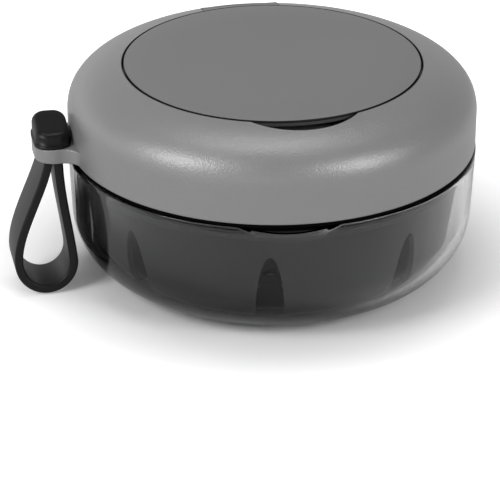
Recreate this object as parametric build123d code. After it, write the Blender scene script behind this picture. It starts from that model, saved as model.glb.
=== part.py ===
from build123d import *
import math
import os

# A round denture case: a clear bowl, a slotted strainer basket standing in it, and a lid with
# a silicone seal, a mirror under a flip-up cover, and a rubber carrying strap.
# Millimetres and degrees. The case stands on z = 0 with its centre on the Z axis. The lid's
# finger scoop faces -Y, the mirror cover's hinge +Y and the strap lug -X.

# ------------------------------------------------------------------ clear bowl
BOWL_HEIGHT = 35.4
BOWL_RADIUS = 55.2          # outside, at the rim
BOWL_TAPER = 1.4            # how much smaller the side would be at the ground
BOWL_WALL = 2.2
BOWL_FLOOR = 2.2
BOWL_CORNER = 18.0          # radius of the round lower corner
BOWL_RIM_ROUND = 0.6        # outer edge of the rim
BOWL_NOTCH_WIDTH = 26.4     # thumb notch in the rim
BOWL_NOTCH_DEPTH = 3.8      # at its middle, at the outer face
BOWL_NOTCH_SAG = 1.2        # how much deeper it is at its middle than at its ends
BOWL_NOTCH_CORNER = 1.2
BOWL_NOTCH_SLOPE = 30.0     # the notch floor falls outward
BOWL_TURN = -7.7            # the bowl as it was closed, turned about Z under the lid

# ------------------------------------------------------------------ strainer basket
BASKET_TO_BOWL = 0.8        # its rim to the bowl's side
BASKET_RIM_HEIGHT = 2.0
BASKET_RIM_STEP = 0.6       # how far the rolled rim stands out from the side
BASKET_RIM_ROUND = 0.4
BASKET_FOOT_SETBACK = 5.0   # middle of the ring that it stands on, inside the edge of the flat floor
BASKET_FOOT_WIDTH = 2.4
BASKET_FOOT_HEIGHT = 0.6
BASKET_TAPER = 4.2          # how much smaller the side would be at the floor
BASKET_CORNER = 10.0
BASKET_WALL = 1.6
BASKET_TOP_GAP = 0.3        # below the lid's liner
BASKET_TURN = -13.0
SLOT_COUNT = 8
SLOT_WIDTH = 7.4            # at its lower end
SLOT_ABOVE_FLOOR = 3.5      # from the underside of the floor
SLOT_BELOW_RIM = 5.4        # from the lower edge of the rim
DRAIN_HOLE = 4.2            # diameter
DRAIN_RINGS = 3
DRAIN_TO_FOOT = 1.6         # outermost holes to the ring that it stands on

# ------------------------------------------------------------------ silicone seal
SEAL_THICKNESS = 0.9        # the black line between the bowl and the lid
SEAL_RECESS = 0.6           # how far its edge stays inside the bowl's
SEAL_SKIRT_DEPTH = 2.0
SEAL_SKIRT_WALL = 1.1
SEAL_BEAD = 0.3
SEAL_TO_BOWL = 0.2          # bead to bowl

# ------------------------------------------------------------------ lid shell
LID_STEP = 0.2              # how far its side stays inside the bowl's rim
LID_SIDE = 9.1              # height of its upright side
SHOULDER_RUN = 27.45        # the rounded shoulder, measured inward
SHOULDER_RISE = 13.6        # and upward
SHOULDER_POWER = 2.417      # 2 would be an ellipse
SHOULDER_POINTS = 10        # stretches of the curve that follows it
LID_WALL = 2.2
LID_EDGE_ROUND = 0.35       # outer lower edge
LINER_SEAT_HEIGHT = 1.8     # rebate in the lid's mouth that takes the liner's flange
LINER_SEAT_STEP = 0.8

# ------------------------------------------------------------------ mirror cover and its well
COVER_SETBACK = 15.25       # its edge inside the lid's side
COVER_GAP = 0.5
COVER_EDGE = 2.0            # from the cover's edge down to the ledge that it rests on
COVER_LIP = 0.5             # height of its upright edge, above the undercut
COVER_UNDERCUT = 1.2
COVER_LINE_DEPTH = 0.8      # the gap round the cover goes on as a groove across the hinge tongue
COVER_EDGE_ROUND = 0.35     # of the cover's rim and of the lid's edge around it
COVER_LEDGE = 2.4           # width of the ledge that it rests on
WELL_DEPTH = 2.9            # from the ledge down to the well's floor
MIRROR_SETBACK = 7.75       # its edge inside the cover's
MIRROR_THICKNESS = 1.5
MIRROR_RECESS = 0.9
PAD_THICKNESS = 0.5
PAD_MARGIN = 2.0
BEZEL_WALL = 1.6
BEZEL_HEIGHT = 1.3
BEZEL_CLEARANCE = 0.2
SCOOP_RADIUS = 26.0         # the finger scoop is part of a sphere
SCOOP_OVERRUN = 4.15        # how far beyond the cover's edge the scoop runs out on the shoulder
SCOOP_HALF_WIDTH = 16.5     # of the circle that the sphere makes there

# ------------------------------------------------------------------ cover hinge
HINGE_SETBACK = 2.25        # axis behind the cover's edge
HINGE_KNUCKLE = 1.5         # radius
HINGE_TONGUE = 21.4         # width
HINGE_SIDE_GAP = 0.3
HINGE_BACK_GAP = 0.7
PIN_RADIUS = 0.6
PIN_OVERHANG = 2.0          # how far it runs into each cheek
PIN_RUNNING_FIT = 0.05

# ------------------------------------------------------------------ lid liner
LINER_WALL = 1.6
LINER_CORNER = 8.0
LINER_CLEARANCE = 0.1
LINER_LIP = 0.9             # lip that holds the seal from below
LINER_LIP_HEIGHT = 0.5
LINER_TO_WELL = 1.6

# ------------------------------------------------------------------ strap lug and strap
LUG_REACH = 10.0            # beyond the lid's side
LUG_WIDTH = 15.2
LUG_THICKNESS = 4.0
LUG_LIFT = 0.4              # above the lid's lower edge
LUG_CORNER = 5.2
LUG_FILLET = 5.0            # where it runs into the side
LUG_EDGE_ROUND = 0.4
STRAP_OFFSET = 5.45         # slot centre beyond the lid's side
STRAP_WIDTH = 13.0
STRAP_THICKNESS = 2.3
STRAP_EDGE_ROUND = 0.4
STRAP_LEG_GAP = 0.5         # between the two legs at the lug
STRAP_LEAN = 7.0            # the loop hangs a little towards the front
NECK_WIDTH = 9.4            # the strap is narrower where it passes through the lug
NECK_CORNER = 0.6
NECK_CLEARANCE = 0.1
HEAD_LENGTH = 9.9           # radially
HEAD_WIDTH = 14.2
HEAD_SHIFT = 0.3            # its middle is nearer to the lid than the neck's
HEAD_HEIGHT = 4.9
HEAD_FLANGE = 1.0
HEAD_STEP = 0.35
HEAD_CORNER = 4.0
HEAD_ROUND = 1.6
STRAP_TOP_GAP = 0.3
LOOP_RADIUS = 8.5           # outside, at the bottom of the loop
LOOP_SHIFT = 3.2            # loop centre outward of the slot
LOOP_LIFT = 0.1             # loop above the ground
OUTER_LEG_LEAN = 22.0       # where each leg runs into the bottom of the loop
INNER_LEG_LEAN = 5.0

# ------------------------------------------------------------------ levels and radii worked out
LID_EDGE = BOWL_HEIGHT + SEAL_THICKNESS
LUG_LEVEL = LID_EDGE + LUG_LIFT
BASKET_TOP = BOWL_HEIGHT - SEAL_SKIRT_DEPTH - LINER_LIP_HEIGHT - BASKET_TOP_GAP
SHOULDER_START = LID_EDGE + LID_SIDE
CROWN_TOP = SHOULDER_START + SHOULDER_RISE
CLEAR_ABOVE = 2 * CROWN_TOP     # cutters run out to here
LID_RADIUS = BOWL_RADIUS - LID_STEP
COVER_RADIUS = LID_RADIUS - COVER_SETBACK
MIRROR_RADIUS = COVER_RADIUS - MIRROR_SETBACK


def crown_height(radius, inset=0.0):
    """Height of the lid's outer skin at a radius, or of a skin that lies inset inside it."""
    run, rise = SHOULDER_RUN - inset, SHOULDER_RISE - inset
    share = max(0.0, radius - (LID_RADIUS - SHOULDER_RUN)) / run
    return SHOULDER_START + rise * (1 - share**SHOULDER_POWER) ** (1 / SHOULDER_POWER)


def turned(*outline):
    """A solid of revolution about Z from a closed outline of (radius, height)."""
    return revolve(Plane.XZ * make_face(Curve() + list(outline)), Axis.Z)


def cup(radius, foot_radius, low, high, wall, floor, corner):
    """A round open cup with leaning sides and one round lower corner, turned about Z."""
    outside = filled_cup(radius, foot_radius, low, high, corner)
    inside = filled_cup(radius - wall, foot_radius - wall, low + floor, high, corner - wall)
    return outside - inside


def filled_cup(radius, foot_radius, low, high, corner):
    outline = make_face(Polyline((0, low), (foot_radius, low), (radius, high), (0, high), close=True))
    foot = outline.vertices().filter_by(lambda v: v.X > 0 and v.Y < high)
    return revolve(Plane.XZ * fillet(foot.sort_by(Axis.X)[-1], corner), Axis.Z)


def top_circle(solid, radius):
    """The highest circular edge of a radius."""
    circles = solid.edges().filter_by(GeomType.CIRCLE)
    return circles.filter_by(lambda edge: abs(edge.radius - radius) < 0.01).sort_by(Axis.Z)[-1]


def disc(radius, bottom, top):
    return Pos(0, 0, bottom) * Cylinder(radius, top - bottom, align=(Align.CENTER, Align.CENTER, Align.MIN))


def bowl_inside(height):
    """Inside radius of the bowl's side at a height."""
    return BOWL_RADIUS - BOWL_WALL - BOWL_TAPER * (BOWL_HEIGHT - height) / BOWL_HEIGHT


# ------------------------------------------------------------------ bowl
def make_bowl():
    bowl = cup(BOWL_RADIUS, BOWL_RADIUS - BOWL_TAPER, 0, BOWL_HEIGHT, BOWL_WALL, BOWL_FLOOR, BOWL_CORNER)
    bowl = fillet(top_circle(bowl, BOWL_RADIUS), BOWL_RIM_ROUND)
    notch_middle = Pos(0, -BOWL_RADIUS, BOWL_HEIGHT - BOWL_NOTCH_DEPTH) * Rot(90 + BOWL_NOTCH_SLOPE, 0, 0)
    notch = notch_middle * extrude(notch_outline(), 3 * BOWL_WALL, both=True)
    return Rot(0, 0, BOWL_TURN) * (bowl - notch)


def notch_outline():
    """The thumb notch seen along its floor: a shallow arc between two rounded ends."""
    half, above = BOWL_NOTCH_WIDTH / 2, 2 * BOWL_NOTCH_DEPTH
    left, right = (-half, BOWL_NOTCH_SAG), (half, BOWL_NOTCH_SAG)
    floor = ThreePointArc(left, (0, 0), right)
    notch = make_face(floor + Polyline(right, (half, above), (-half, above), left))
    return fillet(notch.vertices().group_by(Axis.Y)[0], BOWL_NOTCH_CORNER)


# ------------------------------------------------------------------ basket
def arch_slot():
    """One slot's outline, upright, with its centre line on x = 0: the upper half of an ellipse."""
    low = BOWL_FLOOR + BASKET_FOOT_HEIGHT + SLOT_ABOVE_FLOOR
    rise = BASKET_TOP - BASKET_RIM_HEIGHT - SLOT_BELOW_RIM - low
    upper_half = Rectangle(SLOT_WIDTH, rise, align=(Align.CENTER, Align.MIN))
    return Pos(0, low) * (Ellipse(SLOT_WIDTH / 2, rise) & upper_half)


def make_basket():
    floor = BOWL_FLOOR + BASKET_FOOT_HEIGHT
    rim_low = BASKET_TOP - BASKET_RIM_HEIGHT
    rim_radius = bowl_inside(rim_low) - BASKET_TO_BOWL
    side_top = rim_radius - BASKET_RIM_STEP
    side_foot = side_top - BASKET_TAPER
    basket = cup(side_top, side_foot, floor, BASKET_TOP, BASKET_WALL, BASKET_WALL, BASKET_CORNER)
    rim = disc(rim_radius, rim_low, BASKET_TOP)
    rim = fillet(rim.edges().filter_by(GeomType.CIRCLE), BASKET_RIM_ROUND)
    basket += rim - disc(side_top - BASKET_WALL / 2, rim_low, BASKET_TOP)
    foot_outer = side_foot - BASKET_CORNER - BASKET_FOOT_SETBACK + BASKET_FOOT_WIDTH / 2
    foot_inner = foot_outer - BASKET_FOOT_WIDTH
    basket += disc(foot_outer, BOWL_FLOOR, floor) - disc(foot_inner, BOWL_FLOOR, floor)
    slot = extrude(Plane.XZ * arch_slot(), rim_radius)
    basket -= [Rot(0, 0, 360 / SLOT_COUNT * i) * slot for i in range(SLOT_COUNT)]
    hole = disc(DRAIN_HOLE / 2, 0, BASKET_TOP)
    basket -= hole
    pitch = (foot_inner - DRAIN_TO_FOOT - DRAIN_HOLE / 2) / DRAIN_RINGS
    for ring in range(1, DRAIN_RINGS + 1):
        count = 6 * ring
        basket -= [Rot(0, 0, 360 / count * i) * Pos(ring * pitch, 0, 0) * hole for i in range(count)]
    return Rot(0, 0, BASKET_TURN) * basket


# ------------------------------------------------------------------ seal
def make_seal():
    """An L in section: the flange lies on the bowl's rim and the skirt hangs inside it."""
    outer = BOWL_RADIUS - SEAL_RECESS
    skirt_low = BOWL_HEIGHT - SEAL_SKIRT_DEPTH
    bead_tip = bowl_inside(skirt_low) - SEAL_TO_BOWL
    skirt = bead_tip - SEAL_BEAD
    inner = skirt - SEAL_SKIRT_WALL
    middle = (BOWL_HEIGHT + skirt_low) / 2
    quarter = SEAL_SKIRT_DEPTH / 4
    return turned(
        Line((inner, LID_EDGE), (outer, LID_EDGE)),
        Line((outer, LID_EDGE), (outer, BOWL_HEIGHT)),
        Line((outer, BOWL_HEIGHT), (skirt, BOWL_HEIGHT)),
        ThreePointArc((skirt, BOWL_HEIGHT), (bead_tip, middle + quarter), (skirt, middle)),
        ThreePointArc((skirt, middle), (bead_tip, middle - quarter), (skirt, skirt_low)),
        Line((skirt, skirt_low), (inner, skirt_low)),
        Line((inner, skirt_low), (inner, LID_EDGE)),
    )


def seal_inner_radius():
    bead_tip = bowl_inside(BOWL_HEIGHT - SEAL_SKIRT_DEPTH) - SEAL_TO_BOWL
    return bead_tip - SEAL_BEAD - SEAL_SKIRT_WALL


# ------------------------------------------------------------------ levels of the lid's inside
WELL_RADIUS = COVER_RADIUS + COVER_GAP
LEDGE_RADIUS = WELL_RADIUS - COVER_LEDGE
LEDGE_LEVEL = crown_height(COVER_RADIUS) - COVER_EDGE
WELL_FLOOR = LEDGE_LEVEL - WELL_DEPTH
WELL_UNDERSIDE = WELL_FLOOR - LID_WALL
HINGE_Y = COVER_RADIUS + HINGE_SETBACK
HINGE_Z = crown_height(HINGE_Y) - HINGE_KNUCKLE
STRAP_X = -(LID_RADIUS + STRAP_OFFSET)
NECK_LENGTH = 2 * STRAP_THICKNESS + STRAP_LEG_GAP


def lid_body(inset=0.0):
    """Everything inside the lid's outer skin, or inside a skin that lies inset inside it."""
    run, rise, power = SHOULDER_RUN - inset, SHOULDER_RISE - inset, 2 / SHOULDER_POWER
    side, flat, top = LID_RADIUS - inset, LID_RADIUS - SHOULDER_RUN, CROWN_TOP - inset
    shoulder = [(side, SHOULDER_START)]
    for i in range(1, SHOULDER_POINTS):
        turn = math.pi / 2 * i / SHOULDER_POINTS
        inward, upward = run * math.cos(turn) ** power, rise * math.sin(turn) ** power
        shoulder += [(flat + inward, SHOULDER_START + upward)]
    shoulder += [(flat, top)]
    edge_inner, edge_top = side - LID_EDGE_ROUND, LID_EDGE + LID_EDGE_ROUND
    return turned(
        Line((0, LID_EDGE), (edge_inner, LID_EDGE)),
        RadiusArc((edge_inner, LID_EDGE), (side, edge_top), -LID_EDGE_ROUND),
        Line((side, edge_top), (side, SHOULDER_START)),
        Spline(*shoulder),
        Line((flat, top), (0, top)),
        Line((0, top), (0, LID_EDGE)),
    )


def finger_scoop(grow=0.0):
    """Part of a sphere that dips below the cover's front edge and runs out on the shoulder."""
    rise = math.sqrt(SCOOP_RADIUS**2 - SCOOP_HALF_WIDTH**2)
    reach = COVER_RADIUS + SCOOP_OVERRUN
    centre = (0, SCOOP_HALF_WIDTH - reach, crown_height(reach) + rise)
    return Pos(*centre) * Sphere(SCOOP_RADIUS + grow) - disc(LEDGE_RADIUS, LID_EDGE, CLEAR_ABOVE)


def hinge_pocket(grow=0.0):
    """The space that the hinge tongue turns in, behind the cover's edge."""
    half = HINGE_TONGUE / 2 + HINGE_SIDE_GAP + grow
    back = HINGE_Y + HINGE_KNUCKLE + HINGE_BACK_GAP + grow
    low = HINGE_Z - HINGE_KNUCKLE - HINGE_SIDE_GAP - grow
    front = LEDGE_RADIUS - LID_WALL
    pocket = Box(2 * half, back - front, CROWN_TOP - low, align=(Align.CENTER, Align.MIN, Align.MIN))
    return Pos(0, front, low) * pocket


def hinge_bore(radius, half_length):
    return Pos(0, HINGE_Y, HINGE_Z) * Rot(0, 90, 0) * Cylinder(radius, 2 * half_length)


# ------------------------------------------------------------------ lid shell
def make_lug():
    """A slice of the lid with the strap lug, rounded at its end and flared into the lid's side."""
    outer = LID_RADIUS + LUG_REACH
    plan = Circle(LID_RADIUS) + Pos(-outer / 2, 0) * Rectangle(outer, LUG_WIDTH)
    corners = plan.vertices().group_by(Axis.X)
    plan = fillet(corners[0], LUG_CORNER)
    plan = fillet(plan.vertices().filter_by(is_flare), LUG_FILLET)
    lug = extrude(plan, LUG_THICKNESS)
    faces = lug.faces().sort_by(Axis.Z)
    return Pos(0, 0, LUG_LEVEL) * fillet(faces[0].edges() + faces[-1].edges(), LUG_EDGE_ROUND)


def neck_outline(grow=0.0):
    """The strap's neck, or the slot around it, seen from above."""
    return RectangleRounded(NECK_LENGTH + 2 * grow, NECK_WIDTH + 2 * grow, NECK_CORNER + grow)


def is_flare(vertex):
    """Whether a corner of the lug's plan is one of the two where it leaves the lid's side."""
    on_side = abs(math.hypot(vertex.X, vertex.Y) - LID_RADIUS) < 0.01
    return on_side and vertex.X < 0


def make_lid_shell():
    inner_side = LID_RADIUS - LID_WALL
    well_walls = disc(WELL_RADIUS + LID_WALL, LEDGE_LEVEL - LID_WALL, CLEAR_ABOVE)
    well_walls += disc(LEDGE_RADIUS + LID_WALL, WELL_UNDERSIDE, CLEAR_ABOVE)
    hollow = lid_body(LID_WALL) - well_walls
    well = disc(WELL_RADIUS, LEDGE_LEVEL, CLEAR_ABOVE) + disc(LEDGE_RADIUS, WELL_FLOOR, CLEAR_ABOVE)
    seat = disc(inner_side + LINER_SEAT_STEP, LID_EDGE, LID_EDGE + LINER_SEAT_HEIGHT)
    outside = lid_body() - well
    outside = fillet(top_circle(outside, WELL_RADIUS), COVER_EDGE_ROUND)
    shell = outside + make_lug() - hollow - seat
    shell += (finger_scoop(LID_WALL) + hinge_pocket(LID_WALL)) & outside
    shell -= finger_scoop()
    shell -= hinge_pocket() - disc(LEDGE_RADIUS, 0, LEDGE_LEVEL)
    shell -= hinge_bore(PIN_RADIUS, HINGE_TONGUE / 2 + HINGE_SIDE_GAP + PIN_OVERHANG)
    return shell - Pos(STRAP_X, 0, 0) * extrude(neck_outline(NECK_CLEARANCE), CLEAR_ABOVE)


# ------------------------------------------------------------------ lid liner
def make_lid_liner():
    """The lid's inner wall: a flange in the lid's mouth, a plug that carries the seal, a ceiling."""
    flange = LID_RADIUS - LID_WALL + LINER_SEAT_STEP - LINER_CLEARANCE
    flange_top = LID_EDGE + LINER_SEAT_HEIGHT
    plug = seal_inner_radius() - LINER_CLEARANCE
    inner = plug - LINER_WALL
    lip_top = BOWL_HEIGHT - SEAL_SKIRT_DEPTH
    lip_low = lip_top - LINER_LIP_HEIGHT
    ceiling_top = WELL_UNDERSIDE - LINER_TO_WELL
    ceiling = ceiling_top - LINER_WALL
    outer_corner = LINER_CORNER + LINER_WALL
    outer_flat = plug - outer_corner
    return turned(
        Line((inner, lip_low), (plug + LINER_LIP, lip_low)),
        Line((plug + LINER_LIP, lip_low), (plug + LINER_LIP, lip_top)),
        Line((plug + LINER_LIP, lip_top), (plug, lip_top)),
        Line((plug, lip_top), (plug, LID_EDGE)),
        Line((plug, LID_EDGE), (flange, LID_EDGE)),
        Line((flange, LID_EDGE), (flange, flange_top)),
        Line((flange, flange_top), (plug, flange_top)),
        Line((plug, flange_top), (plug, ceiling_top - outer_corner)),
        RadiusArc((plug, ceiling_top - outer_corner), (outer_flat, ceiling_top), -outer_corner),
        Line((outer_flat, ceiling_top), (0, ceiling_top)),
        Line((0, ceiling_top), (0, ceiling)),
        Line((0, ceiling), (outer_flat, ceiling)),
        RadiusArc((outer_flat, ceiling), (inner, ceiling - LINER_CORNER), LINER_CORNER),
        Line((inner, ceiling - LINER_CORNER), (inner, lip_low)),
    )


# ------------------------------------------------------------------ mirror cover
def make_mirror_cover():
    rim_top = crown_height(COVER_RADIUS)
    foot_radius = COVER_RADIUS - COVER_UNDERCUT
    blank = turned(
        Line((0, LEDGE_LEVEL), (foot_radius, LEDGE_LEVEL)),
        Line((foot_radius, LEDGE_LEVEL), (COVER_RADIUS, rim_top - COVER_LIP)),
        Line((COVER_RADIUS, rim_top - COVER_LIP), (COVER_RADIUS, CLEAR_ABOVE)),
        Line((COVER_RADIUS, CLEAR_ABOVE), (0, CLEAR_ABOVE)),
        Line((0, CLEAR_ABOVE), (0, LEDGE_LEVEL)),
    )
    tongue = Pos(0, LEDGE_RADIUS, LEDGE_LEVEL) * Box(
        HINGE_TONGUE, HINGE_Y - LEDGE_RADIUS, CLEAR_ABOVE, align=(Align.CENTER, Align.MIN, Align.MIN)
    )
    knuckle = hinge_bore(HINGE_KNUCKLE, HINGE_TONGUE / 2)
    cover = blank & lid_body()
    cover = fillet(top_circle(cover, COVER_RADIUS), COVER_EDGE_ROUND)
    line_floor = rim_top - COVER_LINE_DEPTH
    line = disc(WELL_RADIUS, line_floor, CLEAR_ABOVE) - disc(COVER_RADIUS, line_floor, CLEAR_ABOVE)
    cover += (tongue & lid_body()) - line
    cover += knuckle
    mirror_back = LEDGE_LEVEL + MIRROR_RECESS
    recess_radius = MIRROR_RADIUS + BEZEL_CLEARANCE
    bezel = disc(recess_radius + BEZEL_WALL, LEDGE_LEVEL - BEZEL_HEIGHT, LEDGE_LEVEL)
    cover += bezel
    cover -= disc(recess_radius, LEDGE_LEVEL - BEZEL_HEIGHT, mirror_back)
    return cover - hinge_bore(PIN_RADIUS + PIN_RUNNING_FIT, HINGE_TONGUE)


def make_mirror():
    back = LEDGE_LEVEL + MIRROR_RECESS - PAD_THICKNESS
    return disc(MIRROR_RADIUS, back - MIRROR_THICKNESS, back)


def make_mirror_pad():
    back = LEDGE_LEVEL + MIRROR_RECESS
    return disc(MIRROR_RADIUS - PAD_MARGIN, back - PAD_THICKNESS, back)


def make_hinge_pin():
    return hinge_bore(PIN_RADIUS, HINGE_TONGUE / 2 + HINGE_SIDE_GAP + PIN_OVERHANG)


# ------------------------------------------------------------------ strap
def make_strap_head():
    """The strap's head on top of the lug, with the neck that fills the lug's slot."""
    flange = extrude(RectangleRounded(HEAD_LENGTH, HEAD_WIDTH, HEAD_CORNER), HEAD_FLANGE)
    pill_size = (HEAD_LENGTH - 2 * HEAD_STEP, HEAD_WIDTH - 2 * HEAD_STEP)
    pill = extrude(RectangleRounded(*pill_size, HEAD_CORNER - HEAD_STEP), HEAD_HEIGHT)
    pill = fillet(pill.faces().sort_by(Axis.Z)[-1].edges(), HEAD_ROUND)
    neck = extrude(neck_outline(), -LUG_THICKNESS)
    return Pos(STRAP_X, 0, LUG_LEVEL + LUG_THICKNESS) * (Pos(HEAD_SHIFT, 0) * (flange + pill) + neck)


def make_strap_loop():
    """A flat band bent into a teardrop. Both legs end under the lug, rounded about the swing axis."""
    top = LUG_LEVEL - STRAP_TOP_GAP
    leg = (STRAP_THICKNESS + STRAP_LEG_GAP) / 2
    bend = LOOP_RADIUS - STRAP_THICKNESS / 2
    centre = Vector(STRAP_X - LOOP_SHIFT, LOOP_LIFT + LOOP_RADIUS)
    inner_end = centre + Vector(bend, 0).rotate(Axis.Z, INNER_LEG_LEAN)
    outer_end = centre + Vector(-bend, 0).rotate(Axis.Z, -OUTER_LEG_LEAN)
    inner_way = Vector(0, -1).rotate(Axis.Z, INNER_LEG_LEAN)
    outer_way = Vector(0, 1).rotate(Axis.Z, -OUTER_LEG_LEAN)
    inner_leg = Spline((STRAP_X + leg, top), inner_end, tangents=[(0, -1), inner_way])
    outer_leg = Spline(outer_end, (STRAP_X - leg, top), tangents=[outer_way, (0, 1)])
    bottom = ThreePointArc(inner_end, centre + Vector(0, -bend), outer_end)
    band = trace(Curve() + [inner_leg, bottom, outer_leg], STRAP_THICKNESS)
    lean = math.radians(STRAP_LEAN)
    leaning = Plane((0, 0, top), x_dir=(1, 0, 0), z_dir=(0, -math.cos(lean), math.sin(lean)))
    loop = extrude(leaning * Pos(0, -top) * band, STRAP_WIDTH / 2, dir=(0, 1, 0), both=True)
    sides = loop.faces().sort_by(Axis.Y)
    loop = fillet(sides[0].edges() + sides[-1].edges(), STRAP_EDGE_ROUND)
    axis = Pos(STRAP_X, 0, top - NECK_LENGTH / 2)
    around = axis * Rot(90, 0, 0) * Cylinder(NECK_LENGTH / 2, 2 * STRAP_WIDTH)
    below = axis * Box(*[4 * top] * 3, align=(Align.CENTER, Align.CENTER, Align.MAX))
    return loop & (around + below)


PIECES = {
    "bowl": make_bowl,
    "basket": make_basket,
    "seal_ring": make_seal,
    "lid_shell": make_lid_shell,
    "lid_liner": make_lid_liner,
    "mirror_cover": make_mirror_cover,
    "mirror": make_mirror,
    "mirror_pad": make_mirror_pad,
    "hinge_pin": make_hinge_pin,
    "strap_head": make_strap_head,
    "strap_loop": make_strap_loop,
}

os.makedirs("parts", exist_ok=True)
for name, make in PIECES.items():
    export_step(make(), f"parts/{name}.step")
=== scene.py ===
import math

import bpy
from mathutils import Matrix, Vector


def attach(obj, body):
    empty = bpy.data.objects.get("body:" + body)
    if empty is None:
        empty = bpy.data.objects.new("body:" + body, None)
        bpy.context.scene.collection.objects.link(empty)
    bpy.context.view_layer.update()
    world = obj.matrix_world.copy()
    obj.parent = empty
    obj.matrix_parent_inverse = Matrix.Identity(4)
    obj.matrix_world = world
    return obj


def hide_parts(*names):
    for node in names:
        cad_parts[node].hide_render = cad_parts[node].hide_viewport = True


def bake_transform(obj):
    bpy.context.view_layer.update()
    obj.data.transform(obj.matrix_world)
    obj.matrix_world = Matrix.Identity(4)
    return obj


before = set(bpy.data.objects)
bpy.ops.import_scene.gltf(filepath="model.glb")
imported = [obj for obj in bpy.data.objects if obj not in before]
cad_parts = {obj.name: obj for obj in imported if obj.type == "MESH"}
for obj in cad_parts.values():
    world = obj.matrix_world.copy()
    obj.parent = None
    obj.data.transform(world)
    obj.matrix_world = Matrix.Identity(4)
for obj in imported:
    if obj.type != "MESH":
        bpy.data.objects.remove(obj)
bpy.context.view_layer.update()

MM = 0.001

# ---------------------------------------------------------------- clear bowl
# The lower half of the case: one thick-walled injection moulding in clear styrene plastic, with a
# round lower corner, a rounded rim and a thumb notch at the front. It stands on its own flat
# underside, and everything else stands in or on it.
BOWL_RADIUS, BOWL_HEIGHT, BOWL_TAPER, BOWL_WALL, BOWL_CORNER = 55.2, 35.4, 1.4, 2.2, 18.0
RIM_ROUND_OUTSIDE, RIM_ROUND_INSIDE = 0.6, 0.25
BOWL_TURN = -7.7  # degrees about Z, as the bowl was closed under the lid
SPINE = 30.0  # radius of the circle that the outline is carried round
CORNER_STEPS, SIDE_STEPS, FLOOR_STEPS, RIM_STEPS = 26, 14, 5, 12
OUTSIDE_ROUND_STEPS, INSIDE_ROUND_STEPS = 6, 4
NOTCH_REACH = 0.72  # share of the height above which the wall is drawn down into the notch
BEVEL_FADE = 0.5  # share of the notch's half width where its bevel starts to run out
WELD = 0.001 * MM  # points closer together than this become one


def arc(centre, radius, start, end, steps):
    """Points on an arc in the outline plane, angles in degrees, both ends included."""
    angles = [math.radians(start + (end - start) * i / steps) for i in range(steps + 1)]
    return [(centre[0] + radius * math.cos(a), centre[1] + radius * math.sin(a)) for a in angles]


def run(start, end, steps):
    """Points between two points, ends left out."""
    return [[a + (b - a) * i / steps for a, b in zip(start, end)] for i in range(1, steps)]


def new_tree(name, sizes):
    """An empty Geometry Nodes tree with a named input for each size and one for the material."""
    tree = bpy.data.node_groups.new(name, "GeometryNodeTree")
    tree.interface.new_socket("Geometry", in_out="INPUT", socket_type="NodeSocketGeometry")
    for label, value in sizes.items():
        kind = "NodeSocketInt" if isinstance(value, int) else "NodeSocketFloat"
        tree.interface.new_socket(label, in_out="INPUT", socket_type=kind)
    tree.interface.new_socket("Material", in_out="INPUT", socket_type="NodeSocketMaterial")
    tree.interface.new_socket("Geometry", in_out="OUTPUT", socket_type="NodeSocketGeometry")
    return tree, tree.nodes.new("NodeGroupInput").outputs


def add(tree, kind, *feeds, **settings):
    """A node, its inputs fed in order by other nodes' outputs or by plain values."""
    node = tree.nodes.new(kind)
    for setting, value in settings.items():
        setattr(node, setting, value)
    for socket, feed in zip(node.inputs, feeds):
        if isinstance(feed, bpy.types.NodeSocket):
            tree.links.new(feed, socket)
        elif feed is not None:
            socket.default_value = feed
    return node.outputs


def math_node(tree, operation, *feeds):
    return add(tree, "ShaderNodeMath", *feeds, operation=operation)[0]


def spread(tree, value, start, end, first, last, **settings):
    """Carry a value from between start and end over to between first and last, and stop there."""
    return add(tree, "ShaderNodeMapRange", value, start, end, first, last, **settings)[0]


def cloudy(tree, place, scale, detail):
    """A cloudy pattern between 0 and 1, so many times across a metre."""
    return add(tree, "ShaderNodeTexNoise", place, None, scale, detail)[0]


def make_piece(name, tree, shape, seed_data, sizes, material):
    """Run a tree on a curve or on bare edges, and keep what it makes as a plain mesh."""
    ends = add(tree, "GeometryNodeSetMaterial", add(tree, "GeometryNodeRealizeInstances", shape)[0], None)
    given = next(node for node in tree.nodes if node.bl_idname == "NodeGroupInput").outputs
    tree.links.new(given["Material"], ends[0].node.inputs["Material"])
    add(tree, "NodeGroupOutput", ends[0])
    seed = bpy.data.objects.new(name + " seed", seed_data)
    bpy.context.scene.collection.objects.link(seed)
    modifier = seed.modifiers.new(name, "NODES")
    modifier.node_group = tree
    for socket in tree.interface.items_tree:
        if socket.in_out == "INPUT" and socket.name in sizes:
            modifier[socket.identifier] = sizes[socket.name]
        elif socket.in_out == "INPUT" and socket.name == "Material":
            modifier[socket.identifier] = material
    done = seed.evaluated_get(bpy.context.evaluated_depsgraph_get())
    mesh = bpy.data.meshes.new_from_object(done)
    bpy.data.objects.remove(seed)
    piece = bpy.data.objects.new(name, mesh)
    bpy.context.scene.collection.objects.link(piece)
    return piece


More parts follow.
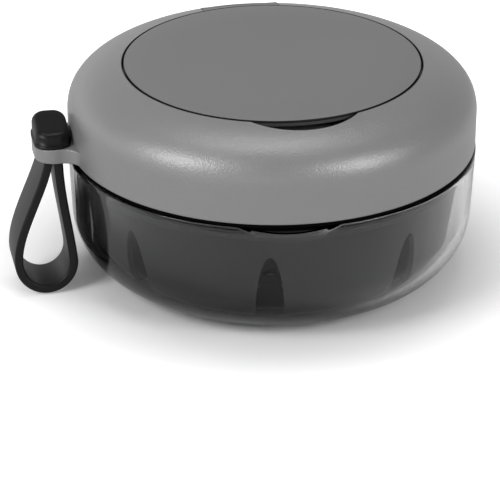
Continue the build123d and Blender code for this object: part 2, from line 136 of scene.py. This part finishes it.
clear = bpy.data.materials.new("clear styrene")
clear.use_nodes = True
tree = clear.node_tree
shader = tree.nodes["Principled BSDF"]
shader.inputs["Base Color"].default_value = (0.89, 0.89, 0.89, 1)
shader.inputs["Transmission Weight"].default_value = 1.0
shader.inputs["IOR"].default_value = 1.5
shader.inputs["Specular Tint"].default_value = (0.25, 0.25, 0.25, 1)
place = add(tree, "ShaderNodeTexCoord")["Object"]
haze = spread(tree, cloudy(tree, place, 60, 4), 0.55, 0.8, 0.008, 0.035)
tree.links.new(haze, shader.inputs["Roughness"])
ripple = tree.nodes.new("ShaderNodeBump")
ripple.inputs["Distance"].default_value = 0.1 * MM
tree.links.new(cloudy(tree, place, 28, 1), ripple.inputs["Height"])
tree.links.new(ripple.outputs["Normal"], shader.inputs["Normal"])

foot, inner_rim = BOWL_RADIUS - BOWL_TAPER, BOWL_RADIUS - BOWL_WALL
inner_corner = BOWL_CORNER - BOWL_WALL
lean = math.degrees(math.atan(BOWL_TAPER / BOWL_HEIGHT))  # outside, the side leans from the ground up
inner_lean = math.degrees(math.atan(BOWL_TAPER / (BOWL_HEIGHT - BOWL_WALL)))  # inside, from the floor up
flat = foot - BOWL_CORNER * math.tan(math.radians((90 - lean) / 2))
inner_flat = foot - BOWL_WALL - inner_corner * math.tan(math.radians((90 - inner_lean) / 2))
side = (BOWL_RADIUS - BOWL_TAPER * RIM_ROUND_OUTSIDE / BOWL_HEIGHT, BOWL_HEIGHT - RIM_ROUND_OUTSIDE)
rim = arc((side[0] - RIM_ROUND_OUTSIDE, side[1]), RIM_ROUND_OUTSIDE, 0, 90, OUTSIDE_ROUND_STEPS)
rim_inside = (inner_rim + RIM_ROUND_INSIDE, BOWL_HEIGHT - RIM_ROUND_INSIDE)
inside_round = arc(rim_inside, RIM_ROUND_INSIDE, 90, 180, INSIDE_ROUND_STEPS)
rim += [*run(rim[-1], inside_round[0], RIM_STEPS), *inside_round]
corner = arc((flat, BOWL_CORNER), BOWL_CORNER, -90, -lean, CORNER_STEPS)
inner_centre = (inner_flat, BOWL_WALL + inner_corner)
inner = arc(inner_centre, inner_corner, -inner_lean, -90, CORNER_STEPS)
bowl_outline = [(0, 0), *run((0, 0), corner[0], FLOOR_STEPS), *corner]
bowl_outline += [*run(corner[-1], side, SIDE_STEPS), *rim, *run(rim[-1], inner[0], SIDE_STEPS), *inner]
bowl_outline += [*run(inner[-1], (0, BOWL_WALL), FLOOR_STEPS), (0, BOWL_WALL)]
bowl_edges = bpy.data.meshes.new("bowl outline")
bowl_edges.from_pydata(
    [((r - SPINE) * MM, -z * MM, 0) for r, z in reversed(bowl_outline)],
    [(i, i + 1) for i in range(len(bowl_outline) - 1)],
    [],
)
bowl_sizes = {
    "Spine Radius": SPINE * MM,
    "Segments": 720,
    "Turn": math.radians(-BOWL_TURN),
    "Notch Half Width": 13.2 * MM,
    "Notch Depth": 2.1 * MM,
    "Bevel Depth": 1.7 * MM,
    "Bevel Slope": math.tan(math.radians(55)),
    "Rim Radius": BOWL_RADIUS * MM,
    "Rim Height": BOWL_HEIGHT * MM,
}
tree, given = new_tree("turned bowl", bowl_sizes)
circle = add(tree, "GeometryNodeCurvePrimitiveCircle", given["Segments"])
tree.links.new(given["Spine Radius"], circle[0].node.inputs["Radius"])
upright = add(tree, "GeometryNodeSetCurveNormal", circle[0], mode="Z_UP")
outline = add(tree, "GeometryNodeMeshToCurve", given["Geometry"])
turned = add(tree, "GeometryNodeCurveToMesh", upright[0], outline[0])
closed = add(tree, "GeometryNodeMergeByDistance", turned[0])
closed[0].node.inputs["Distance"].default_value = WELD
place = add(tree, "GeometryNodeInputPosition")[0]
seen = add(tree, "ShaderNodeVectorRotate", place, rotation_type="Z_AXIS")
tree.links.new(given["Turn"], seen[0].node.inputs["Angle"])
across, depth, height = add(tree, "ShaderNodeSeparateXYZ", seen[0])
share = math_node(tree, "ABSOLUTE", math_node(tree, "DIVIDE", across, given["Notch Half Width"]))
ends = spread(tree, share, BEVEL_FADE, 1.0, 1.0, 0.0, interpolation_type="SMOOTHSTEP")
front = math_node(tree, "LESS_THAN", depth, 0.0)
rise = math_node(tree, "MULTIPLY", math_node(tree, "POWER", share, 2.0), given["Notch Depth"])
cut = math_node(tree, "MAXIMUM", math_node(tree, "SUBTRACT", given["Notch Depth"], rise), 0.0)
level = add(tree, "ShaderNodeCombineXYZ", across, depth)[0]
reach = add(tree, "ShaderNodeVectorMath", level, operation="LENGTH")
setback = math_node(tree, "SUBTRACT", given["Rim Radius"], reach["Value"])
fall = math_node(tree, "MULTIPLY", setback, given["Bevel Slope"])
bevel = math_node(tree, "MAXIMUM", math_node(tree, "SUBTRACT", given["Bevel Depth"], fall), 0.0)
drop = math_node(tree, "ADD", cut, math_node(tree, "MULTIPLY", bevel, ends))
high = math_node(tree, "DIVIDE", height, given["Rim Height"])
pull = spread(tree, high, NOTCH_REACH, 1.0, 0.0, 1.0)
sunk = math_node(tree, "MULTIPLY", math_node(tree, "MULTIPLY", drop, pull), front)
move = add(tree, "ShaderNodeCombineXYZ", 0.0, 0.0, math_node(tree, "MULTIPLY", sunk, -1.0))[0]
notched = add(tree, "GeometryNodeSetPosition", closed[0], None, None, move)
smooth = add(tree, "GeometryNodeSetShadeSmooth", notched[0])
bowl = make_piece("clear_bowl", tree, smooth[0], bowl_edges, bowl_sizes, clear)
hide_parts("bowl")
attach(bowl, "bowl")

# ---------------------------------------------------------------- strainer basket
# A charcoal basket that stands inside the bowl and lifts out with the denture in it. It is one
# moulding, with arched slots round its side and drain holes in its floor.


def mix(tree, kind, factor, a, b):
    """Mix two numbers or two colours."""
    node = tree.nodes.new("ShaderNodeMix")
    node.data_type = kind
    for label, feed in (("Factor", factor), ("A", a), ("B", b)):
        if isinstance(feed, bpy.types.NodeSocket):
            tree.links.new(feed, node.inputs[label])
        else:
            node.inputs[label].default_value = feed
    return node.outputs["Result"]


def plastic(name, colour, roughness, grain, depth, mottle=0.04, gloss_level=0.5):
    """Moulded plastic: a fine spark-eroded grain, a little uneven in colour and in gloss."""
    material = bpy.data.materials.new(name)
    material.use_nodes = True
    tree = material.node_tree
    shader = tree.nodes["Principled BSDF"]
    place = add(tree, "ShaderNodeTexCoord")["Object"]
    cloud = cloudy(tree, place, 45, 3)
    pale, dark = ((*[c * (1 + share) for c in colour], 1) for share in (mottle, -mottle))
    tree.links.new(mix(tree, "RGBA", cloud, dark, pale), shader.inputs["Base Color"])
    gloss = spread(tree, cloud, 0.0, 1.0, roughness - 0.03, roughness + 0.03)
    tree.links.new(gloss, shader.inputs["Roughness"])
    bump = tree.nodes.new("ShaderNodeBump")
    bump.inputs["Strength"].default_value = 1.0
    bump.inputs["Distance"].default_value = depth * MM
    tree.links.new(cloudy(tree, place, 1 / (grain * MM), 2), bump.inputs["Height"])
    tree.links.new(bump.outputs["Normal"], shader.inputs["Normal"])
    shader.inputs["Specular IOR Level"].default_value = gloss_level
    return material


charcoal = plastic("charcoal basket plastic", (0.046, 0.046, 0.047), 0.35, 0.5, 0.0003, gloss_level=0.15)
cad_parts["basket"].data.materials[0] = charcoal

# ---------------------------------------------------------------- seal
# A black silicone ring between the bowl's rim and the lid, moulded in one piece. It is pressed
# over the lid's plug and comes off with the lid.
silicone = plastic("black silicone", (0.0012, 0.0012, 0.0012), 0.6, 0.2, 0.005, gloss_level=0.02)
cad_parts["seal_ring"].data.materials[0] = silicone

# ---------------------------------------------------------------- lid shell and liner
# The lid is two grey mouldings: the domed shell with the strap lug on its side, and the liner
# snapped into its mouth. Their skin has a fine, even spark-eroded grain.
LID_GREY = (0.176, 0.176, 0.178)
lid_grey = plastic("grey lid plastic", LID_GREY, 0.33, 0.45, 0.1, gloss_level=1.0)
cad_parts["lid_shell"].data.materials[0] = lid_grey


def paint_shade_ring(material, radii, heights):
    """Painted shade: black between two radii and two heights, in millimetres, over the material's own
    colour.
    """
    tree = material.node_tree
    x, y, height = add(tree, "ShaderNodeSeparateXYZ", add(tree, "ShaderNodeTexCoord")["Object"])
    level = add(tree, "ShaderNodeCombineXYZ", x, y)[0]
    reach = add(tree, "ShaderNodeVectorMath", level, operation="LENGTH")["Value"]
    inside = [
        math_node(tree, "COMPARE", value, (low + high) / 2 * MM, (high - low) / 2 * MM)
        for value, (low, high) in ((reach, radii), (height, heights))
    ]
    colour = tree.nodes["Principled BSDF"].inputs["Base Color"]
    own = colour.links[0].from_socket
    # The painted shade is this black.
    black = (0.002, 0.002, 0.002, 1)
    tree.links.new(mix(tree, "RGBA", math_node(tree, "MULTIPLY", *inside), own, black), colour)


# The shadow in the gap round the cover is painted as a dark line on the faces beside it, and the
# narrow strip of the liner that shows in the thumb notch is painted black for the shade under the seal.
COVER_EDGE, WELL_EDGE = 39.75, 40.25  # radii of the cover and of its well
LINE_SPREAD = 0.15  # how far the painted shade line goes on past each edge
LID_TOP = (50.0, 60.0)  # the heights where the painted shade line is drawn
STRIP_RADII, STRIP_HEIGHTS = (51.0, 60.0), (30.0, 33.5)
paint_shade_ring(lid_grey, (COVER_EDGE, WELL_EDGE + LINE_SPREAD), LID_TOP)
liner_grey = plastic("grey liner plastic", LID_GREY, 0.34, 0.4, 0.016)
paint_shade_ring(liner_grey, STRIP_RADII, STRIP_HEIGHTS)
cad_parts["lid_liner"].data.materials[0] = liner_grey

# ---------------------------------------------------------------- hinge pin
# A short piece of drawn steel wire, pressed into the lid's two cheeks at the back of the well.
# The cover's knuckle turns on it.
steel = plastic("drawn steel", (0.6, 0.6, 0.6), 0.25, 0.2, 0.002)
steel.node_tree.nodes["Principled BSDF"].inputs["Metallic"].default_value = 1.0
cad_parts["hinge_pin"].data.materials[0] = steel

# ---------------------------------------------------------------- mirror cover
# A flat disc that lies in the lid's top and flips up on the hinge at the back. It is moulded in a
# slightly darker grey than the lid, with a duller grain.
cover_grey = plastic("grey cover plastic", (0.158, 0.158, 0.16), 0.5, 0.3, 0.015)
# The painted shade line of the gap runs onto the cover's edge as well.
paint_shade_ring(cover_grey, (COVER_EDGE - LINE_SPREAD, WELL_EDGE), LID_TOP)
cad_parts["mirror_cover"].data.materials[0] = cover_grey

# ---------------------------------------------------------------- mirror and its pad
# A round mirror of silvered glass, a little smeared by handling, in the cover's bezel. A black
# adhesive foam pad holds it there.
silver = bpy.data.materials.new("silvered glass")
silver.use_nodes = True
tree = silver.node_tree
shader = tree.nodes["Principled BSDF"]
shader.inputs["Base Color"].default_value = (0.86, 0.88, 0.88, 1)
shader.inputs["Metallic"].default_value = 1.0
smears = cloudy(tree, add(tree, "ShaderNodeTexCoord")["Object"], 70, 3)
tree.links.new(spread(tree, smears, 0.5, 0.85, 0.015, 0.06), shader.inputs["Roughness"])
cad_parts["mirror"].data.materials[0] = silver
foam = plastic("black adhesive foam", (0.02, 0.02, 0.02), 0.9, 0.4, 0.05)
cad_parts["mirror_pad"].data.materials[0] = foam

# ---------------------------------------------------------------- strap
# One black rubber moulding: a pill-shaped head on top of the lug, and a flat band bent into a
# loop under it.
STRAP_X, LEG_OFFSET, LEG_TOP = -60.45, 1.4, 36.4
LOOP_CENTRE, LOOP_BEND = (-63.65, 8.6), 7.35
INNER_LEAN, OUTER_LEAN, OUTER_TOP_LEAN = 5.0, 22.0, 12.0
INNER_TOP_HANDLE, INNER_FOOT_HANDLE = 9.96, 9.194  # how far each leg's handles reach
OUTER_TOP_HANDLE, OUTER_FOOT_HANDLE = 9.55, 8.619

rubber = plastic("black strap rubber", (0.0014, 0.0014, 0.0015), 0.4, 0.25, 0.01, gloss_level=0.26)
head_sizes = {
    "Lug Level": 40.7 * MM,
    "Head Height": 4.9 * MM,
    "Back Rise": 1.4 * MM,
    "Front Fall": 1.0 * MM,
    "Half Width": 7.1 * MM,
}
tree, given = new_tree("strap head", head_sizes)
welded = add(tree, "GeometryNodeMergeByDistance", given["Geometry"])
welded[0].node.inputs["Distance"].default_value = WELD
x, y, z = add(tree, "ShaderNodeSeparateXYZ", add(tree, "GeometryNodeInputPosition")[0])
above = math_node(tree, "MAXIMUM", math_node(tree, "SUBTRACT", z, given["Lug Level"]), 0.0)
high = math_node(tree, "DIVIDE", above, given["Head Height"])
back = math_node(tree, "DIVIDE", y, given["Half Width"])
rise, fall = given["Back Rise"], given["Front Fall"]
mean = math_node(tree, "MULTIPLY", math_node(tree, "SUBTRACT", rise, fall), 0.5)
span = math_node(tree, "MULTIPLY", math_node(tree, "ADD", rise, fall), 0.5)
slope = math_node(tree, "ADD", mean, math_node(tree, "MULTIPLY", back, span))
move = add(tree, "ShaderNodeCombineXYZ", 0.0, 0.0, math_node(tree, "MULTIPLY", high, slope))[0]
sloped = add(tree, "GeometryNodeSetPosition", welded[0], None, None, move)
smooth = add(tree, "GeometryNodeSetShadeSmooth", sloped[0])
head_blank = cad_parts["strap_head"].data.copy()
head = make_piece("strap_stopper", tree, smooth[0], head_blank, head_sizes, rubber)
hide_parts("strap_head")
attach(head, "lid")


def bezier(points):
    """A Bezier curve in the XZ plane through (point, handle before, handle after), in millimetres."""
    curve = bpy.data.curves.new("strap path", "CURVE")
    curve.dimensions, curve.resolution_u = "3D", 40
    spline = curve.splines.new("BEZIER")
    spline.bezier_points.add(len(points) - 1)
    for knot, (point, before, after) in zip(spline.bezier_points, points):
        knot.handle_left_type = knot.handle_right_type = "FREE"
        knot.co = (point[0] * MM, 0, point[1] * MM)
        knot.handle_left = ((point[0] + before[0]) * MM, 0, (point[1] + before[1]) * MM)
        knot.handle_right = ((point[0] + after[0]) * MM, 0, (point[1] + after[1]) * MM)
    return curve


def loop_knot(angle, before, after):
    """A point of the loop's round bottom with its tangent handles, going clockwise from the inner leg."""
    a = math.radians(angle)
    point = (LOOP_CENTRE[0] + LOOP_BEND * math.cos(a), LOOP_CENTRE[1] + LOOP_BEND * math.sin(a))
    way = (math.sin(a), -math.cos(a))
    return point, [-before * c for c in way], [after * c for c in way]


turn = (180 + INNER_LEAN - OUTER_LEAN) / 2
quarter = 4 / 3 * math.tan(math.radians(turn) / 4) * LOOP_BEND
top_lean = math.radians(OUTER_TOP_LEAN)
outer_top = (-OUTER_TOP_HANDLE * math.sin(top_lean), -OUTER_TOP_HANDLE * math.cos(top_lean))
loop = bezier([
    ((STRAP_X + LEG_OFFSET, LEG_TOP), (0, 1), (0, -INNER_TOP_HANDLE)),
    loop_knot(INNER_LEAN, INNER_FOOT_HANDLE, quarter),
    loop_knot(INNER_LEAN - turn, quarter, quarter),
    loop_knot(INNER_LEAN - 2 * turn, quarter, OUTER_FOOT_HANDLE),
    ((STRAP_X - LEG_OFFSET, LEG_TOP), outer_top, (0, 1)),
])
strap_sizes = {
    "Width": 13.0 * MM,
    "Thickness": 2.3 * MM,
    "Edge Round": 0.5 * MM,
    "Lean": math.radians(7),
    "Level": LEG_TOP * MM,
}
tree, given = new_tree("bent strap", strap_sizes)
facing = add(tree, "GeometryNodeSetCurveNormal", given["Geometry"], mode="FREE")
facing[0].node.inputs["Normal"].default_value = (0, 1, 0)
section = add(tree, "GeometryNodeCurvePrimitiveQuadrilateral", given["Width"], given["Thickness"])
rounded = add(tree, "GeometryNodeFilletCurve", section[0], mode="POLY")
rounded[0].node.inputs["Count"].default_value = 5
rounded[0].node.inputs["Limit Radius"].default_value = True
tree.links.new(given["Edge Round"], rounded[0].node.inputs["Radius"])
band = add(tree, "GeometryNodeCurveToMesh", facing[0], rounded[0])
band[0].node.inputs["Fill Caps"].default_value = True
x, y, z = add(tree, "ShaderNodeSeparateXYZ", add(tree, "GeometryNodeInputPosition")[0])
below = math_node(tree, "SUBTRACT", z, given["Level"])
sideways = math_node(tree, "MULTIPLY", below, math_node(tree, "SINE", given["Lean"]))
lowered = math_node(tree, "MULTIPLY", below, math_node(tree, "COSINE", given["Lean"]))
forward = math_node(tree, "ADD", y, sideways)
upward = math_node(tree, "ADD", lowered, given["Level"])
leaning = add(tree, "ShaderNodeCombineXYZ", x, forward, upward)[0]
hung = add(tree, "GeometryNodeSetPosition", band[0], None, leaning)
smooth = add(tree, "GeometryNodeSetShadeSmooth", hung[0])
strap = make_piece("strap_band", tree, smooth[0], loop, strap_sizes, rubber)
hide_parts("strap_loop")
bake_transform(strap)

# ---------------------------------------------------------------- floor, light and camera
# A white table before a white background, lit by two soft boxes in front and one overhead. The
# table glows a little away from the object, so that it looks white, and keeps the shadow near it.
floor_mesh = bpy.data.meshes.new("floor")
LEVEL = -0.05 * MM  # just under the bowl's foot, so that the two faces don't coincide
REACH = 6  # metres from the middle to each side
floor_corners = [(x * REACH, y * REACH, LEVEL) for x, y in ((-1, -1), (1, -1), (1, 1), (-1, 1))]
floor_mesh.from_pydata(floor_corners, [], [(0, 1, 2, 3)])
floor = bpy.data.objects.new("floor", floor_mesh)
bpy.context.scene.collection.objects.link(floor)
paper = bpy.data.materials.new("white table")
paper.use_nodes = True
tree = paper.node_tree
shader = tree.nodes["Principled BSDF"]
shader.inputs["Roughness"].default_value = 0.6
shader.inputs["Specular IOR Level"].default_value = 0.1
shader.inputs["Emission Color"].default_value = (1, 1, 1, 1)
place = add(tree, "ShaderNodeTexCoord")["Object"]
reach = add(tree, "ShaderNodeVectorMath", place, operation="LENGTH")["Value"]
glow = spread(tree, reach, 0.035, 0.11, 0.0, 0.71, interpolation_type="SMOOTHSTEP")
rays = add(tree, "ShaderNodeLightPath")
mirrored = math_node(tree, "MULTIPLY", rays["Is Glossy Ray"], 0.12)
bent = math_node(tree, "MULTIPLY", rays["Is Transmission Ray"], 0.35)
shown = math_node(tree, "MAXIMUM", math_node(tree, "MAXIMUM", rays["Is Camera Ray"], mirrored), bent)
strength = math_node(tree, "MULTIPLY", glow, shown)

# Painted shadow: seen through clear plastic, the table is painted dark in a ring round the bowl's foot
# that reaches further out at the left, and it is plain under the bowl's middle.
SHADE_CENTRE = (-22 * MM, 4 * MM, 0)
under = add(tree, "ShaderNodeVectorMath", place, SHADE_CENTRE, operation="DISTANCE")["Value"]
outside = spread(tree, under, 56 * MM, 77 * MM, 0.0, 1.0, interpolation_type="SMOOTHSTEP")
middle = spread(tree, reach, 28 * MM, 38 * MM, 1.0, 0.0, interpolation_type="SMOOTHSTEP")
painted_shadow_ring = math_node(tree, "MAXIMUM", outside, middle)
# Only rays through the clear plastic see the painted shadow, in the table's colour and in its glow.
left = mix(tree, "FLOAT", rays["Is Transmission Ray"], 1.0, painted_shadow_ring)
tree.links.new(math_node(tree, "MULTIPLY", left, 0.72), shader.inputs["Base Color"])
tree.links.new(math_node(tree, "MULTIPLY", strength, left), shader.inputs["Emission Strength"])
floor_mesh.materials.append(paper)

world = bpy.context.scene.world or bpy.data.worlds.new("studio")
bpy.context.scene.world = world
world.use_nodes = True
tree = world.node_tree
background = tree.nodes["Background"]
background.inputs["Color"].default_value = (1, 1, 1, 1)
across, _, up = add(tree, "ShaderNodeSeparateXYZ", add(tree, "ShaderNodeTexCoord")["Generated"])
rays = add(tree, "ShaderNodeLightPath")

# The light all round is weak. What the object mirrors is dimmer higher up and towards the right,
# and behind everything, and through clear plastic, the background is white.
AMBIENT = 0.32
low, high = (math.sin(math.radians(angle)) for angle in (5, 35))
sky = spread(tree, up, low, high, 1.0, 0.3, interpolation_type="SMOOTHSTEP")
aside = spread(tree, across, -1.0, 1.0, 1.6, 0.4)
reflected = math_node(tree, "MULTIPLY", sky, aside)
light = mix(tree, "FLOAT", rays["Is Glossy Ray"], AMBIENT, reflected)
white = math_node(tree, "MAXIMUM", rays["Is Camera Ray"], rays["Is Transmission Ray"])
tree.links.new(math_node(tree, "MAXIMUM", white, light), background.inputs["Strength"])

for name, azimuth, elevation, distance, width, height, power in (
    ("left soft box", -66, 34, 0.9, 0.38, 0.42, 4.7),
    ("right soft box", 38, 28, 0.9, 0.34, 0.36, 3.7),
    ("overhead soft box", 180, 83, 0.9, 0.6, 0.25, 2.1),
):
    lamp = bpy.data.lights.new(name, "AREA")
    lamp.shape = "RECTANGLE"
    lamp.size, lamp.size_y, lamp.energy = width, height, power
    box = bpy.data.objects.new(name, lamp)
    a, e = math.radians(azimuth), math.radians(elevation)
    away = Vector((math.sin(a) * math.cos(e), -math.cos(a) * math.cos(e), math.sin(e)))
    box.location = away * distance + Vector((0, 0, 0.03))
    box.rotation_euler = away.to_track_quat("Z", "Y").to_euler()
    bpy.context.scene.collection.objects.link(box)

camera = bpy.data.objects.new("camera", bpy.data.cameras.new("camera"))
camera.data.sensor_width, camera.data.lens = 36, 180
camera.location = (-0.136886, -0.601853, 0.317133)
CAMERA_TURN, CAMERA_TILT, CAMERA_ROLL = (math.radians(angle) for angle in (-12.2751, 62.988, 0.1654))
aim = Matrix.Rotation(CAMERA_TURN, 3, "Z") @ Matrix.Rotation(CAMERA_TILT, 3, "X")
camera.rotation_euler = (aim @ Matrix.Rotation(CAMERA_ROLL, 3, "Z")).to_euler()
bpy.context.scene.collection.objects.link(camera)
bpy.context.scene.camera = camera
bpy.context.scene.view_settings.view_transform = "Standard"
